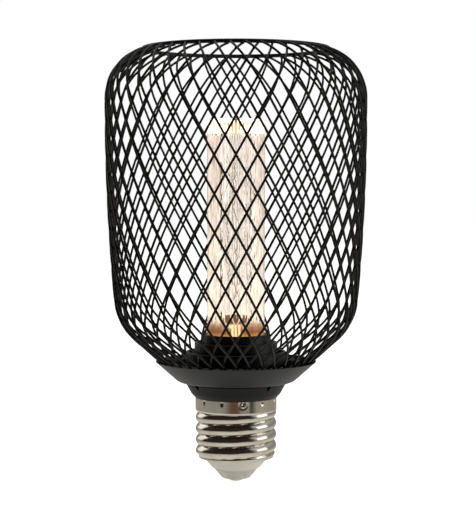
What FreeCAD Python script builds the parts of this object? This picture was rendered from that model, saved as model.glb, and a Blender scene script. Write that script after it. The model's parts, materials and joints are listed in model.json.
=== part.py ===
# Screw-base bulb with an open wire cage round a clear light column.
#
# The bulb stands on its centre contact: the origin is the middle of that contact's face
# and +Z runs up the axis, through the cap, the driver housing, the dish and the cage.
# Sizes are in millimetres.
import FreeCAD, Part
import math
import os

V = FreeCAD.Vector
AXIS = V(0, 0, 1)
ORIGIN = V(0, 0, 0)

# Screw cap: a rolled thread of a 27 mm lamp cap
THREAD_PITCH = 3.629
THREAD_CREST_R = 13.1
THREAD_DEPTH = 1.05
THREAD_VALLEY = 0.43
THREAD_CREST_WIDTH = 1.6
THREAD_CREST_ROUND = 0.6
THREAD_LEFT_CREST_Z = 13.45
SHELL_WALL = 0.5
SHELL_LIP_INSET = 1.35
SHELL_LIP_HEIGHT = 1.6
SHELL_LIP_ROUND = 1.5
SHELL_STRAIGHT = 14.2
COLLAR_PROUD = 0.05
COLLAR_WALL = 0.6
COLLAR_HEIGHT = 4.1
COLLAR_SLOPE = 0.7
PUNCH_COUNT = 12
PUNCH_ANGLE = 10.0
PUNCH_TIP_R = 0.8
PUNCH_DEPTH = 0.3
PUNCH_DROP = 1.4

# Cap insulator and centre contact
CONTACT_FACE_R = 1.7
CONTACT_R = 2.4
CONTACT_HEIGHT = 0.8
CONTACT_EDGE = 0.3
CONTACT_STEM_R = 1.3
CONTACT_STEM_LENGTH = 3.2
INSULATOR_LIP = 2.5
INSULATOR_CONE_HEIGHT = 3.6
INSULATOR_STEP_WIDTH = 0.4
INSULATOR_STEP_INSET = 1.8
INSULATOR_TIER_HEIGHT = 2.9
INSULATOR_RISE = 1.5
INSULATOR_PLAY = 0.1
INSULATOR_BORE_PLAY = 0.3

# Driver housing: the black neck between cap and dish
NECK_OVERHANG = 0.1
NECK_TAPER = 1.8
NECK_HEIGHT = 3.7
NECK_FLARE_HEIGHT = 1.4
NECK_FOOT_PROUD = 0.05
NECK_FOOT_ROUND = 1.0
NECK_RIM_GROOVE = 0.4
NECK_SEAT_DEPTH = 2.5
CRIMP_PLAY = 0.05
SLEEVE_LIFT = 1.2
SLEEVE_WALL = 0.95
SLEEVE_PLAY = 0.1
NOTCH_COUNT = 4
NOTCH_WIDTH = 1.9
NOTCH_DROP = 1.7
NOTCH_DEPTH = 1.0
NOTCH_ANGLE = 40.0

# Wire cage: two crossing layers of wire on one turned surface
WIRES_A_WAY = 40
WIRE_SIDE = 0.7
WIRE_GAP = 0.1
CAGE_ROWS = 20
CAGE_TURN = 4.5
CAGE_TOP_R = 28.8
CAGE_WALL_R = 41.5
CAGE_SHOULDER_ROUND = 15.8
CAGE_WALL_HEIGHT = 4.4
CAGE_BARREL_ROUND = 680.0
CAGE_BOWL_ROUND = 19.0
CAGE_BOWL_SLOPE = 48.3
CAGE_END_R = 21.4
CAGE_END_LIFT = 4.1
CAGE_SIDE_HEIGHT = 83.0
RING_WIRE_R = 0.65
BASE_RING_WIRE_R = 0.8
WELD_GAP = 0.03
RING_OVERHANG = 0.5

# Dish that carries the cage
DISH_WALL = 0.6
DISH_CAGE_PLAY = 0.06
DISH_HEIGHT = 6.4
DISH_BASE_ROUND = 2.5
DISH_HOLE_PLAY = 0.2

# Clear light column
GUIDE_R = 9.3
GUIDE_BORE_R = 2.7
GUIDE_LENGTH = 71.2
GUIDE_FLARE_DEPTH = 5.0
GUIDE_LIP = 0.7
GUIDE_EDGE = 0.3

# Holder for the column: one black moulding of stepped rings
HOLDER_PLAY = 0.1
HOLDER_HEIGHT = 13.4
HOLDER_LEDGE = 1.0
HOLDER_LEDGE_WIDTH = 1.1
HOLDER_SOCKET_DEPTH = 2.0
HOLDER_BOSS_WALL = 1.4
HOLDER_STEP_WIDTH = 1.4
HOLDER_STEP_DEPTH = 1.9
HOLDER_RIB_WALL = 1.2
HOLDER_RIB_DROP = 2.6
HOLDER_TROUGH_WIDTH = 1.8
HOLDER_TROUGH_DEPTH = 2.9
HOLDER_RIM_WALL = 1.0
HOLDER_RIM_DROP = 3.0
HOLDER_WALL = 1.0
HOLDER_TUBE_REACH = 0.6
HOLDER_SKIRT_PLAY = 0.6
HOLDER_EDGE = 0.3

# Lamp board, its chips and the heat spreader under it
BOARD_INSET = 0.3
BOARD_THICK = 1.6
CHIP_COUNT = 6
CHIP_CIRCLE_R = 5.8
CHIP_LENGTH = 3.5
CHIP_WIDTH = 2.8
CHIP_HEIGHT = 0.7
CHIP_WINDOW = 0.35
CHIP_WINDOW_DEPTH = 0.15
SPREADER_PROUD = 0.05
SPREADER_PLATE = 1.5
SPREADER_WALL = 1.0
SPREADER_DEPTH = 6.8

# Driver board and what is soldered to it, by height above the board's foot
DRIVER_THICK = 1.2
DRIVER_PLAY = 0.15
DRIVER_LIFT = 0.3
DRIVER_TOP_GAP = 2.1
SOLDER_GAP = 0.05
WALL_PLAY = 0.3
RESERVOIR_R = 3.15
RESERVOIR_HEIGHT = 11.5
RESERVOIR_LIFT = 2.3
RESERVOIR_GROOVE = 0.3
INDUCTOR_R = 2.6
INDUCTOR_WINDING = 0.5
INDUCTOR_HEIGHT = 8.0
INDUCTOR_FLANGE = 1.0
INDUCTOR_LIFT = 3.8
FILM_SIZE = (6.0, 3.0, 8.0)
FILM_CORNER = (-7.0, 3.3)
BRIDGE_SIZE = (4.7, 1.6, 3.9)
BRIDGE_CORNER = (1.6, 14.8)
DRIVER_CHIP_SIZE = (4.9, 1.5, 3.9)
DRIVER_CHIP_CORNER = (-6.2, 15.8)
RESISTOR_R = 1.6
RESISTOR_LENGTH = 9.0
RESISTOR_X = 4.0
RESISTOR_LIFT = 2.8
RESISTOR_CHAMFER = 0.4

# Insulated leads
LEAD_R = 0.35
LEAD_BEND_R = 1.0
LEAD_HOLE_PLAY = 0.25
LEAD_LAP = 3.0
LED_LEAD_X = 2.0
SHELL_LEAD_INSET = 2.35

# Radii that follow, from the cap and from the column outwards
THREAD_ROOT_R = THREAD_CREST_R - THREAD_DEPTH
COLLAR_R = THREAD_CREST_R + COLLAR_PROUD
SHELL_BORE_R = THREAD_ROOT_R - SHELL_WALL
SHELL_LIP_R = THREAD_ROOT_R - SHELL_LIP_INSET
SHELL_MOUTH_R = SHELL_LIP_R - SHELL_WALL
SLEEVE_R = SHELL_BORE_R - SLEEVE_PLAY
SLEEVE_BORE_R = SLEEVE_R - SLEEVE_WALL
SPIGOT_R = COLLAR_R - COLLAR_WALL - CRIMP_PLAY
SOCKET_R = GUIDE_R + HOLDER_PLAY
BOSS_R = SOCKET_R + HOLDER_BOSS_WALL
RIB_BORE_R = BOSS_R + HOLDER_STEP_WIDTH
RIB_R = RIB_BORE_R + HOLDER_RIB_WALL
RIM_BORE_R = RIB_R + HOLDER_TROUGH_WIDTH
RIM_R = RIM_BORE_R + HOLDER_RIM_WALL
NECK_TOP_R = RIM_R + NECK_OVERHANG
BOARD_R = GUIDE_R - BOARD_INSET
SPREADER_R = BOARD_R + SPREADER_PROUD

# Levels that follow, from the contact's face upwards
INSULATOR_STEP_Z = CONTACT_HEIGHT + INSULATOR_CONE_HEIGHT
SHELL_LIP_Z = INSULATOR_STEP_Z + INSULATOR_TIER_HEIGHT
SHELL_FOOT_Z = SHELL_LIP_Z + SHELL_LIP_HEIGHT
INSULATOR_TOP_Z = SHELL_FOOT_Z + INSULATOR_RISE
SLEEVE_BOTTOM_Z = INSULATOR_TOP_Z + SLEEVE_LIFT
COLLAR_BOTTOM_Z = SHELL_FOOT_Z + SHELL_STRAIGHT
COLLAR_TOP_Z = COLLAR_BOTTOM_Z + COLLAR_HEIGHT
NECK_LOW_Z = COLLAR_TOP_Z + NECK_FLARE_HEIGHT
NECK_TOP_Z = NECK_LOW_Z + NECK_HEIGHT
NECK_SEAT_Z = NECK_TOP_Z - NECK_SEAT_DEPTH
DISH_FLOOR_Z = NECK_TOP_Z + DISH_WALL
DISH_RIM_Z = NECK_TOP_Z + DISH_HEIGHT
CAGE_END_Z = NECK_TOP_Z + CAGE_END_LIFT
CAGE_WALL_LOW_Z = CAGE_END_Z + CAGE_SIDE_HEIGHT
CAGE_WALL_TOP_Z = CAGE_WALL_LOW_Z + CAGE_WALL_HEIGHT
GUIDE_BOTTOM_Z = NECK_TOP_Z + HOLDER_HEIGHT
GUIDE_TOP_Z = GUIDE_BOTTOM_Z + GUIDE_LENGTH
BOSS_Z = GUIDE_BOTTOM_Z + HOLDER_SOCKET_DEPTH
RIB_TOP_Z = BOSS_Z - HOLDER_RIB_DROP
STEP_Z = RIB_TOP_Z - HOLDER_STEP_DEPTH
RIM_TOP_Z = RIB_TOP_Z - HOLDER_RIM_DROP
TROUGH_Z = RIM_TOP_Z - HOLDER_TROUGH_DEPTH
BOARD_TOP_Z = GUIDE_BOTTOM_Z - HOLDER_LEDGE
SPREADER_TOP_Z = BOARD_TOP_Z - BOARD_THICK
SPREADER_BOTTOM_Z = SPREADER_TOP_Z - SPREADER_DEPTH
DRIVER_BOTTOM_Z = INSULATOR_TOP_Z + DRIVER_LIFT
DRIVER_TOP_Z = SPREADER_BOTTOM_Z - DRIVER_TOP_GAP


def turned(corners):
    """A solid of revolution from (r, z) or (r, z, round) corners, each round a tangent arc."""
    count = len(corners)
    points = [V(c[0], 0, c[1]) for c in corners]
    rounds = [c[2] if len(c) > 2 else 0.0 for c in corners]
    ends = []
    for i, corner in enumerate(points):
        before = (points[i - 1] - corner).normalize()
        after = (points[(i + 1) % count] - corner).normalize()
        if rounds[i] <= 0:
            ends.append((corner, None, corner))
            continue
        half = before.getAngle(after) / 2
        reach = rounds[i] / math.tan(half)
        middle = corner + (before + after).normalize() * (rounds[i] / math.sin(half) - rounds[i])
        ends.append((corner + before * reach, middle, corner + after * reach))
    edges = []
    for i, (start, middle, end) in enumerate(ends):
        if middle is not None:
            edges.append(Part.Arc(start, middle, end).toShape())
        following = ends[(i + 1) % count][0]
        if end.distanceToPoint(following) > 1e-6:
            edges.append(Part.LineSegment(end, following).toShape())
    return Part.Face(Part.Wire(edges)).revolve(ORIGIN, AXIS, 360)


def around(shape, angle):
    """A copy of a shape turned about the bulb's axis."""
    copy = shape.copy()
    copy.rotate(ORIGIN, AXIS, angle)
    return copy


def spaced(shape, count, first_angle=0.0):
    """Equal copies of a shape spaced evenly about the bulb's axis."""
    return [around(shape, first_angle + 360.0 * i / count) for i in range(count)]


def save(name, solids):
    """One STEP file for a sub-part, of one solid or a group of them."""
    shape = solids[0] if len(solids) == 1 else Part.makeCompound(solids)
    shape.exportStep(os.path.join("parts", name + ".step"))
    print(name, len(solids), "solids", round(sum(s.Volume for s in solids), 2), "mm3")


# Screw shell
def thread_ridge():
    """The rolled ridge, swept up the cap on a right-hand helix."""
    inner = THREAD_ROOT_R - SHELL_WALL / 2
    flank_r = THREAD_CREST_R - THREAD_CREST_ROUND
    base_half = (THREAD_PITCH - THREAD_VALLEY) / 2
    crest_half = THREAD_CREST_WIDTH / 2
    start_z = SHELL_LIP_Z - THREAD_PITCH / 2
    turns_down = math.ceil((THREAD_LEFT_CREST_Z - start_z) / THREAD_PITCH)
    first_z = THREAD_LEFT_CREST_Z - turns_down * THREAD_PITCH
    height = COLLAR_BOTTOM_Z + THREAD_PITCH / 2 - first_z
    helix = Part.makeLongHelix(THREAD_PITCH, height, THREAD_ROOT_R)
    helix.rotate(ORIGIN, AXIS, 180)
    helix.translate(V(0, 0, first_z))

    def at(r, z):
        return V(-r, 0, first_z + z)

    low, high = at(inner, -base_half), at(inner, base_half)
    flank_low, flank_high = at(flank_r, -crest_half), at(flank_r, crest_half)
    section = Part.Wire([
        Part.LineSegment(low, flank_low).toShape(),
        Part.Arc(flank_low, at(THREAD_CREST_R, 0), flank_high).toShape(),
        Part.LineSegment(flank_high, high).toShape(),
        Part.LineSegment(high, low).toShape(),
    ])
    return Part.Wire(helix.Edges).makePipeShell([section], True, True)


def screw_shell():
    body = turned([
        (COLLAR_R, COLLAR_TOP_Z),
        (COLLAR_R, COLLAR_BOTTOM_Z, COLLAR_SLOPE / 2),
        (THREAD_ROOT_R, COLLAR_BOTTOM_Z - COLLAR_SLOPE),
        (THREAD_ROOT_R, SHELL_FOOT_Z, SHELL_LIP_ROUND),
        (SHELL_LIP_R, SHELL_LIP_Z),
        (SHELL_MOUTH_R, SHELL_LIP_Z + SHELL_WALL / 2),
        (SHELL_BORE_R, SHELL_FOOT_Z + SHELL_WALL / 2, SHELL_LIP_ROUND - SHELL_WALL),
        (SHELL_BORE_R, COLLAR_BOTTOM_Z),
        (COLLAR_R - COLLAR_WALL, COLLAR_BOTTOM_Z + COLLAR_SLOPE),
        (COLLAR_R - COLLAR_WALL, COLLAR_TOP_Z),
    ])
    envelope = turned([
        (0, COLLAR_BOTTOM_Z),
        (THREAD_CREST_R + SHELL_WALL, COLLAR_BOTTOM_Z),
        (THREAD_CREST_R + SHELL_WALL, SHELL_FOOT_Z + SHELL_WALL),
        (SHELL_LIP_R + SHELL_WALL / 2, SHELL_LIP_Z),
        (0, SHELL_LIP_Z),
    ])
    mid_wall = SHELL_BORE_R + SHELL_WALL / 2
    bore = turned([(0, 0), (mid_wall, 0), (mid_wall, COLLAR_TOP_Z), (0, COLLAR_TOP_Z)])
    ridge = thread_ridge().common(envelope).cut(bore)
    body = body.fuse(ridge).removeSplitter()
    punch_at = V(COLLAR_R - PUNCH_DEPTH + PUNCH_TIP_R, 0, COLLAR_TOP_Z - PUNCH_DROP)
    punch = Part.makeSphere(PUNCH_TIP_R, punch_at)
    for mark in spaced(punch, PUNCH_COUNT, PUNCH_ANGLE - 90):
        body = body.cut(mark)
    return body.Solids


# Cap insulator and contact
def cap_insulator():
    mouth = SHELL_MOUTH_R - INSULATOR_PLAY
    wide = SHELL_BORE_R - INSULATOR_PLAY
    bore = CONTACT_STEM_R + INSULATOR_BORE_PLAY
    step_out = SHELL_MOUTH_R - INSULATOR_STEP_INSET
    return turned([
        (bore, CONTACT_HEIGHT),
        (CONTACT_R + INSULATOR_LIP, CONTACT_HEIGHT),
        (step_out - INSULATOR_STEP_WIDTH, INSULATOR_STEP_Z),
        (step_out, INSULATOR_STEP_Z),
        (mouth, SHELL_LIP_Z - INSULATOR_PLAY),
        (mouth, SHELL_LIP_Z + SHELL_WALL / 2 + INSULATOR_PLAY),
        (wide, SHELL_FOOT_Z + SHELL_WALL / 2 + SHELL_LIP_ROUND / 2),
        (wide, INSULATOR_TOP_Z),
        (bore, INSULATOR_TOP_Z),
    ])


def centre_contact():
    stem_top_z = CONTACT_HEIGHT + CONTACT_STEM_LENGTH
    return turned([
        (0, 0),
        (CONTACT_FACE_R, 0, CONTACT_EDGE),
        (CONTACT_R, CONTACT_HEIGHT - CONTACT_EDGE, CONTACT_EDGE / 2),
        (CONTACT_R, CONTACT_HEIGHT),
        (CONTACT_STEM_R, CONTACT_HEIGHT),
        (CONTACT_STEM_R, stem_top_z),
        (0, stem_top_z),
    ])


# Driver housing
def driver_housing():
    spigot_z = COLLAR_BOTTOM_Z + COLLAR_SLOPE
    seat_r = RIB_R + HOLDER_PLAY
    body = turned([
        (SLEEVE_BORE_R, SLEEVE_BOTTOM_Z),
        (SLEEVE_R, SLEEVE_BOTTOM_Z),
        (SLEEVE_R, spigot_z),
        (SPIGOT_R, spigot_z),
        (SPIGOT_R, COLLAR_TOP_Z),
        (COLLAR_R + NECK_FOOT_PROUD, COLLAR_TOP_Z),
        (NECK_TOP_R - NECK_TAPER, NECK_LOW_Z, NECK_FOOT_ROUND),
        (NECK_TOP_R, NECK_TOP_Z - NECK_RIM_GROOVE),
        (NECK_TOP_R - NECK_RIM_GROOVE, NECK_TOP_Z - NECK_RIM_GROOVE),
        (NECK_TOP_R - NECK_RIM_GROOVE, NECK_TOP_Z),
        (seat_r, NECK_TOP_Z),
        (seat_r, NECK_SEAT_Z),
        (SLEEVE_BORE_R, NECK_SEAT_Z),
    ])
    top_z = NECK_TOP_Z - NECK_RIM_GROOVE
    back = NECK_TOP_R - NECK_RIM_GROOVE - NOTCH_DEPTH
    left, right = V(back, -NOTCH_WIDTH / 2, top_z), V(back, NOTCH_WIDTH / 2, top_z)
    wedge = Part.makePolygon([left, right, V(back, 0, top_z - NOTCH_DROP), left])
    notch = Part.Face(wedge).extrude(V(NOTCH_DEPTH + NECK_TOP_R, 0, 0))
    for cutter in spaced(notch, NOTCH_COUNT, NOTCH_ANGLE - 90):
        body = body.cut(cutter)
    return body.Solids


# Wire cage
def cage_meridian():
    """The cage's turned middle surface, as edges in the XZ plane from the top ring down."""
    shoulder_centre = V(CAGE_WALL_R - CAGE_SHOULDER_ROUND, 0, CAGE_WALL_TOP_Z)
    start = math.acos((CAGE_TOP_R - shoulder_centre.x) / CAGE_SHOULDER_ROUND)

    def shoulder(angle):
        return shoulder_centre + V(math.cos(angle), 0, math.sin(angle)) * CAGE_SHOULDER_ROUND

    wall_top = V(CAGE_WALL_R, 0, CAGE_WALL_TOP_Z)
    wall_low = V(CAGE_WALL_R, 0, CAGE_WALL_LOW_Z)
    barrel_centre = wall_low - V(CAGE_BARREL_ROUND, 0, 0)

    # The bowl is tangent to the cone that runs down to the cage's foot, and to the barrel
    slope = math.radians(CAGE_BOWL_SLOPE)
    foot = V(CAGE_END_R, 0, CAGE_END_Z)
    up_cone = V(math.sin(slope), 0, math.cos(slope))
    inward = V(-math.cos(slope), 0, math.sin(slope))
    offset = foot + inward * CAGE_BOWL_ROUND - barrel_centre
    along = offset.dot(up_cone)
    reach = (CAGE_BARREL_ROUND - CAGE_BOWL_ROUND) ** 2 - offset.dot(offset) + along ** 2
    cone_length = math.sqrt(reach) - along
    cone_top = foot + up_cone * cone_length
    bowl_centre = cone_top + inward * CAGE_BOWL_ROUND
    lean = math.atan2(barrel_centre.z - bowl_centre.z, bowl_centre.x - barrel_centre.x)

    def barrel(angle):
        return barrel_centre + V(math.cos(angle), 0, -math.sin(angle)) * CAGE_BARREL_ROUND

    def bowl(angle):
        return bowl_centre + V(math.cos(angle), 0, -math.sin(angle)) * CAGE_BOWL_ROUND

    return [
        Part.Arc(shoulder(start), shoulder(start / 2), wall_top).toShape(),
        Part.LineSegment(wall_top, wall_low).toShape(),
        Part.Arc(wall_low, barrel(lean / 2), barrel(lean)).toShape(),
        Part.Arc(barrel(lean), bowl((lean + slope) / 2), cone_top).toShape(),
        Part.LineSegment(cone_top, foot).toShape(),
    ]


MERIDIAN = cage_meridian()
MERIDIAN_LENGTH = sum(edge.Length for edge in MERIDIAN)


def on_meridian(length):
    """Point and downward direction at a length along the meridian from the top ring."""
    left = min(max(length, 0.0), MERIDIAN_LENGTH)
    for edge in MERIDIAN:
        if left <= edge.Length or edge is MERIDIAN[-1]:
            along = edge.getParameterByLength(min(left, edge.Length))
            return edge.valueAt(along), edge.tangentAt(along).normalize()
        left -= edge.Length


def outward(direction):
    """The surface's outward normal in the XZ plane, for a downward direction."""
    return V(-direction.z, 0, direction.x)


def wire_section(length, turn_rate, lift):
    """The square section of one wire at a length down the meridian."""
    point, down = on_meridian(length)
    normal = outward(down)
    along = (down + V(0, point.x * turn_rate, 0)).normalize()
    across = normal.cross(along).normalize()
    centre = point + normal * lift
    half = WIRE_SIDE / 2
    corners = [centre + normal * (half * i) + across * (half * j)
               for i, j in ((-1, -1), (-1, 1), (1, 1), (1, -1))]
    section = Part.makePolygon(corners + corners[:1])
    section.rotate(ORIGIN, AXIS, math.degrees(turn_rate * length))
    return section


def wire_stations():
    """Lengths down the meridian where a wire bends: each row on a curve, every other on the wall."""
    row = MERIDIAN_LENGTH / CAGE_ROWS
    wall_start = MERIDIAN[0].Length
    wall_end = MERIDIAN_LENGTH - MERIDIAN[3].Length - MERIDIAN[4].Length
    cone_start = MERIDIAN_LENGTH - MERIDIAN[4].Length
    stations, step = [0], 1
    while stations[-1] + step < CAGE_ROWS:
        stations.append(stations[-1] + step)
        here, ahead = stations[-1] * row, (stations[-1] + 2) * row
        on_wall = here >= wall_start and ahead <= wall_end
        step = 2 if on_wall or here >= cone_start else 1
    return [station * row for station in stations] + [MERIDIAN_LENGTH]


def wire_layer(hand):
    """Every wire of one layer. Hand is 1 for the outer layer and -1 for the inner one."""
    turn_rate = hand * math.pi / WIRES_A_WAY / (MERIDIAN_LENGTH / CAGE_ROWS)
    lift = hand * (WIRE_SIDE + WIRE_GAP) / 2
    sections = [wire_section(length, turn_rate, lift) for length in wire_stations()]
    wire = Part.makeLoft(sections, True, True)
    return spaced(wire, WIRES_A_WAY, CAGE_TURN)


def welded_ring(length, lift, wire_r):
    """A round wire ring whose section lies off the meridian by lift."""
    point, down = on_meridian(length)
    centre = point + outward(down) * lift
    return Part.makeTorus(centre.x, wire_r, V(0, 0, centre.z), AXIS)


def cage_top_ring():
    lift = WIRE_GAP / 2 + WIRE_SIDE + WELD_GAP + RING_WIRE_R
    return welded_ring(RING_OVERHANG, lift, RING_WIRE_R)


def cage_base_ring():
    lift = WIRE_GAP / 2 + WIRE_SIDE + WELD_GAP + BASE_RING_WIRE_R
    return welded_ring(MERIDIAN_LENGTH - RING_OVERHANG, -lift, BASE_RING_WIRE_R)


# Dish
def cage_dish():
    end, down = on_meridian(MERIDIAN_LENGTH)
    normal = outward(down)
    inner_line = end + normal * (WIRE_GAP / 2 + WIRE_SIDE + DISH_CAGE_PLAY)
    outer_line = inner_line + normal * DISH_WALL

    def on(line, z):
        return line.x + (z - line.z) * down.x / down.z

    hole_r = RIB_R + DISH_HOLE_PLAY
    return turned([
        (hole_r, NECK_TOP_Z),
        (on(outer_line, NECK_TOP_Z), NECK_TOP_Z, DISH_BASE_ROUND),
        (on(outer_line, DISH_RIM_Z), DISH_RIM_Z),
        (on(inner_line, DISH_RIM_Z), DISH_RIM_Z),
        (on(inner_line, DISH_FLOOR_Z), DISH_FLOOR_Z, DISH_BASE_ROUND - DISH_WALL),
        (hole_r, DISH_FLOOR_Z),
    ])


# Light column and its holder
def light_guide():
    flare_z = GUIDE_TOP_Z - GUIDE_FLARE_DEPTH
    return turned([
        (GUIDE_BORE_R, GUIDE_BOTTOM_Z),
        (GUIDE_R, GUIDE_BOTTOM_Z, GUIDE_EDGE),
        (GUIDE_R, GUIDE_TOP_Z, GUIDE_EDGE),
        (GUIDE_R - GUIDE_LIP, GUIDE_TOP_Z),
        (GUIDE_BORE_R, flare_z),
    ])


def guide_holder():
    ledge_r = GUIDE_R - HOLDER_LEDGE_WIDTH
    tube_r = SPREADER_R + HOLDER_PLAY
    tube_z = SPREADER_BOTTOM_Z - HOLDER_TUBE_REACH
    skirt_z = NECK_SEAT_Z + HOLDER_SKIRT_PLAY
    return turned([
        (ledge_r, GUIDE_BOTTOM_Z),
        (SOCKET_R, GUIDE_BOTTOM_Z),
        (SOCKET_R, BOSS_Z, HOLDER_EDGE),
        (BOSS_R, BOSS_Z, HOLDER_EDGE),
        (BOSS_R, STEP_Z),
        (RIB_BORE_R, STEP_Z),
        (RIB_BORE_R, RIB_TOP_Z, HOLDER_EDGE),
        (RIB_R, RIB_TOP_Z, HOLDER_EDGE),
        (RIB_R, TROUGH_Z),
        (RIM_BORE_R, TROUGH_Z),
        (RIM_BORE_R, RIM_TOP_Z, HOLDER_EDGE),
        (RIM_R, RIM_TOP_Z, HOLDER_EDGE),
        (RIM_R, DISH_FLOOR_Z),
        (RIM_BORE_R, DISH_FLOOR_Z),
        (RIM_BORE_R, TROUGH_Z - HOLDER_WALL),
        (RIB_R, TROUGH_Z - HOLDER_WALL),
        (RIB_R, skirt_z),
        (RIB_BORE_R, skirt_z),
        (RIB_BORE_R, STEP_Z - HOLDER_WALL),
        (BOSS_R, STEP_Z - HOLDER_WALL),
        (BOSS_R, tube_z),
        (tube_r, tube_z),
        (tube_r, BOARD_TOP_Z),
        (ledge_r, BOARD_TOP_Z),
    ])


# Lamp board
def led_board():
    return Part.makeCylinder(BOARD_R, BOARD_THICK, V(0, 0, SPREADER_TOP_Z))


def led_chips():
    corner = V(CHIP_CIRCLE_R - CHIP_WIDTH / 2, -CHIP_LENGTH / 2, BOARD_TOP_Z)
    body = Part.makeBox(CHIP_WIDTH, CHIP_LENGTH, CHIP_HEIGHT, corner)
    inset = V(CHIP_WINDOW, CHIP_WINDOW, CHIP_HEIGHT - CHIP_WINDOW_DEPTH)
    window = Part.makeBox(CHIP_WIDTH - 2 * CHIP_WINDOW, CHIP_LENGTH - 2 * CHIP_WINDOW,
                          CHIP_HEIGHT, corner + inset)
    return spaced(body.cut(window), CHIP_COUNT, -90)


def heat_spreader():
    plate_z = SPREADER_TOP_Z - SPREADER_PLATE
    body = turned([
        (0, SPREADER_TOP_Z),
        (SPREADER_R, SPREADER_TOP_Z),
        (SPREADER_R, SPREADER_BOTTOM_Z),
        (SPREADER_R - SPREADER_WALL, SPREADER_BOTTOM_Z),
        (SPREADER_R - SPREADER_WALL, plate_z),
        (0, plate_z),
    ])
    for side in (-1, 1):
        hole_at = V(side * LED_LEAD_X, lead_y(), plate_z - SPREADER_PLATE)
        body = body.cut(Part.makeCylinder(LEAD_R + LEAD_HOLE_PLAY, 3 * SPREADER_PLATE, hole_at))
    return body


# Driver board and parts
def driver_board():
    half = math.sqrt((SLEEVE_BORE_R - DRIVER_PLAY) ** 2 - (DRIVER_THICK / 2) ** 2)
    return Part.makeBox(2 * half, DRIVER_THICK, DRIVER_TOP_Z - DRIVER_BOTTOM_Z,
                        V(-half, -DRIVER_THICK / 2, DRIVER_BOTTOM_Z))


def board_face_y(side):
    return side * (DRIVER_THICK / 2 + SOLDER_GAP)


def block_on_board(size, corner, side):
    """A moulded block on the board's front (side 1) or back (side -1)."""
    y = board_face_y(side) if side > 0 else board_face_y(side) - size[1]
    return Part.makeBox(size[0], size[1], size[2], V(corner[0], y, DRIVER_BOTTOM_Z + corner[1]))


def beside_wall(radius):
    """How far sideways a round part on the board's front can stand by the sleeve's wall."""
    return math.sqrt((SLEEVE_BORE_R - WALL_PLAY - radius) ** 2 - (board_face_y(1) + radius) ** 2)


def reservoir_capacitor():
    foot = DRIVER_BOTTOM_Z + RESERVOIR_LIFT
    can = turned([
        (0, foot),
        (RESERVOIR_R, foot),
        (RESERVOIR_R, foot + 3 * RESERVOIR_GROOVE),
        (RESERVOIR_R - RESERVOIR_GROOVE, foot + 4 * RESERVOIR_GROOVE),
        (RESERVOIR_R, foot + 5 * RESERVOIR_GROOVE),
        (RESERVOIR_R, foot + RESERVOIR_HEIGHT, RESERVOIR_GROOVE),
        (0, foot + RESERVOIR_HEIGHT),
    ])
    can.translate(V(beside_wall(RESERVOIR_R), board_face_y(1) + RESERVOIR_R, 0))
    return can


def filter_inductor():
    foot = DRIVER_BOTTOM_Z + INDUCTOR_LIFT
    top = foot + INDUCTOR_HEIGHT
    drum = turned([
        (0, foot),
        (INDUCTOR_R, foot),
        (INDUCTOR_R, foot + INDUCTOR_FLANGE),
        (INDUCTOR_R - INDUCTOR_WINDING, foot + INDUCTOR_FLANGE),
        (INDUCTOR_R - INDUCTOR_WINDING, top - INDUCTOR_FLANGE),
        (INDUCTOR_R, top - INDUCTOR_FLANGE),
        (INDUCTOR_R, top),
        (0, top),
    ])
    drum.translate(V(-beside_wall(INDUCTOR_R), board_face_y(1) + INDUCTOR_R, 0))
    return drum


def fusible_resistor():
    foot = DRIVER_BOTTOM_Z + RESISTOR_LIFT
    top = foot + RESISTOR_LENGTH
    body = turned([
        (0, foot),
        (RESISTOR_R - RESISTOR_CHAMFER, foot),
        (RESISTOR_R, foot + RESISTOR_CHAMFER),
        (RESISTOR_R, top - RESISTOR_CHAMFER),
        (RESISTOR_R - RESISTOR_CHAMFER, top),
        (0, top),
    ])
    body.translate(V(RESISTOR_X, board_face_y(-1) - RESISTOR_R, 0))
    return body


# Leads
def lead_y():
    return DRIVER_THICK / 2 + SOLDER_GAP + LEAD_R


def lead(start, end):
    return Part.makeCylinder(LEAD_R, (end - start).Length, start, end - start)


def contact_lead():
    stem_top_z = CONTACT_HEIGHT + CONTACT_STEM_LENGTH
    return lead(V(0, lead_y(), stem_top_z + SOLDER_GAP),
                V(0, lead_y(), DRIVER_BOTTOM_Z + LEAD_LAP))


def led_lead(side):
    return lead(V(side * LED_LEAD_X, lead_y(), DRIVER_TOP_Z - LEAD_LAP),
                V(side * LED_LEAD_X, lead_y(), SPREADER_TOP_Z - SOLDER_GAP))


def shell_lead():
    """Down the back of the board, then out under the sleeve to the shell's wall."""
    x, y = SHELL_LEAD_INSET - SLEEVE_BORE_R, -lead_y()
    low_z = (INSULATOR_TOP_Z + SLEEVE_BOTTOM_Z) / 2
    wall_x = -math.sqrt((SHELL_BORE_R - SOLDER_GAP) ** 2 - (LEAD_R - y) ** 2)
    top = V(x, y, DRIVER_BOTTOM_Z + LEAD_LAP)
    above = V(x, y, low_z + LEAD_BEND_R)
    beside = V(x - LEAD_BEND_R, y, low_z)
    swing = LEAD_BEND_R * (1 - math.sqrt(0.5))
    middle = V(x - swing, y, low_z + swing)
    path = Part.Wire([
        Part.LineSegment(top, above).toShape(),
        Part.Arc(above, middle, beside).toShape(),
        Part.LineSegment(beside, V(wall_x, y, low_z)).toShape(),
    ])
    section = Part.Wire(Part.makeCircle(LEAD_R, top, V(0, 0, -1)))
    return path.makePipeShell([section], True, False)


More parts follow.
